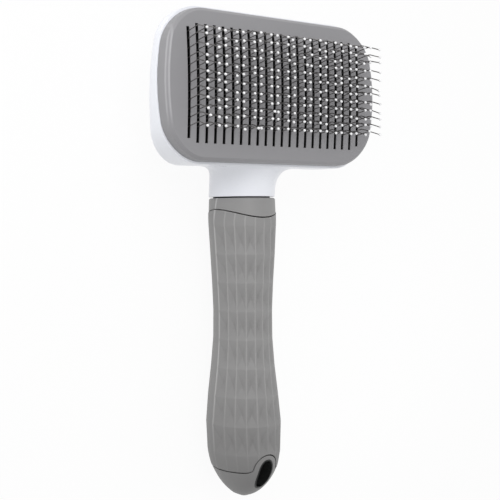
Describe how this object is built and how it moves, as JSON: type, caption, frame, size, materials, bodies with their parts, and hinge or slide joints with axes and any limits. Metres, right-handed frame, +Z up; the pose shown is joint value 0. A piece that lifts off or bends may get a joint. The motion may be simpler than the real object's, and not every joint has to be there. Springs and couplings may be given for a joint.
{
  "type": "slicker brush",
  "caption": "Self-cleaning slicker brush: bent wire pins on a fixed board, a slotted face plate pushed out by a back button, and a faceted soft grip with a hang hole.",
  "frame": {"origin": "middle of the footprint, on the surface that the brush lies on when it rests on its back", "axes": "+Z up, out of the pins; +Y from the handle's end to the head; X across the head"},
  "size_m": [0.1052, 0.196, 0.0563],
  "materials": {
    "grey_plastic": "fine satin texture",
    "white_plastic": "smooth, cool white",
    "grey_rubber": "soft touch, faceted",
    "black_plastic": "matte moulded",
    "pin_wire": "dark drawn wire with pale ball tips",
    "spring_steel": "bright spring wire",
    "screw_steel": "zinc-plated"
  },
  "bodies": {
    "handle_and_pins": {"rear_housing": "white_plastic", "pin_board": "black_plastic", "pin_bed_1": "pin_wire", "pin_bed_2": "pin_wire", "pin_bed_3": "pin_wire", "pin_bed_4": "pin_wire", "board_screw_1": "screw_steel", "board_screw_2": "screw_steel", "board_screw_3": "screw_steel", "board_screw_4": "screw_steel", "return_spring_left": "spring_steel", "return_spring_right": "spring_steel", "handle_core": "grey_plastic", "grip_sleeve": "grey_rubber", "hang_eyelet": "black_plastic"},
    "ejector": {"face_plate": "grey_plastic", "lifter_frame": "black_plastic", "thumb_button": "grey_plastic", "plate_screw_1": "screw_steel", "plate_screw_2": "screw_steel", "plate_screw_3": "screw_steel", "plate_screw_4": "screw_steel", "button_screw_1": "screw_steel", "button_screw_2": "screw_steel"}
  },
  "joints": [
    {"name": "plate_eject", "type": "slide", "parent": "handle_and_pins", "child": "ejector", "axis": [0, 0, 1], "range_m": [0, 0.01], "stiffness_N_per_m": 500, "springref_m": -0.012, "deforming": ["return_spring_left", "return_spring_right"]}
  ]
}
